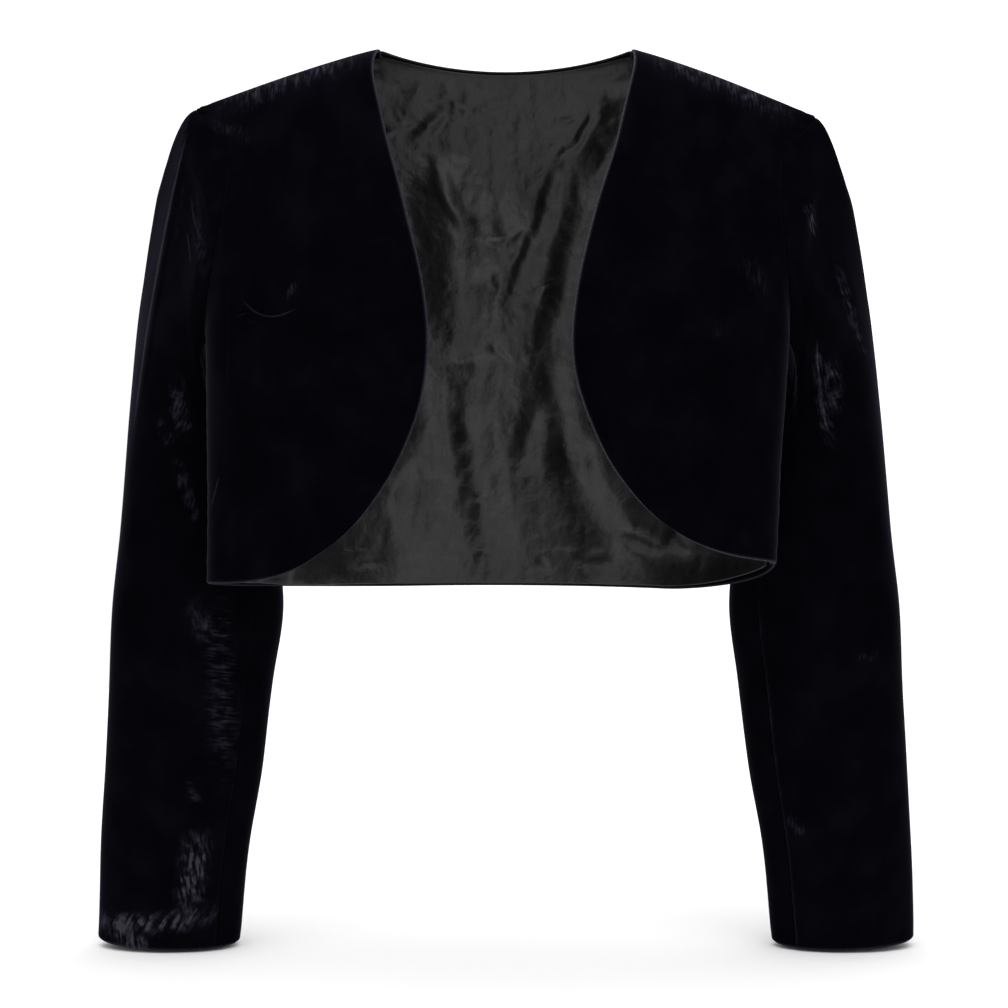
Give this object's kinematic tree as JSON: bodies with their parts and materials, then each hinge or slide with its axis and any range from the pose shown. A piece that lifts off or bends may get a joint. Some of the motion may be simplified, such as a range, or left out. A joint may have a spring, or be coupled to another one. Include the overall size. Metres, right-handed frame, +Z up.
{
  "type": "cropped evening jacket",
  "caption": "Collarless cropped velvet evening jacket with curved cut-away fronts, long two-piece sleeves and a satin back lining, filled out as worn.",
  "frame": {"origin": "middle of the neck, level with the neck ends of the shoulder seams, where the garment is held", "axes": "+Z up, the wearer faces -Y, +X is the wearer's left"},
  "size_m": [0.5988, 0.2165, 0.65],
  "materials": {
    "velvet": "midnight velvet pile, soft sheen along the edges, lightly crushed",
    "satin": "charcoal satin lining, creased, semi-gloss"
  },
  "bodies": {
    "root": {"back": "velvet", "back_lining": "satin", "front_left": "velvet", "front_right": "velvet", "sleeve_left_top": "velvet", "sleeve_left_under": "velvet", "sleeve_right_top": "velvet", "sleeve_right_under": "velvet"}
  },
  "joints": []
}
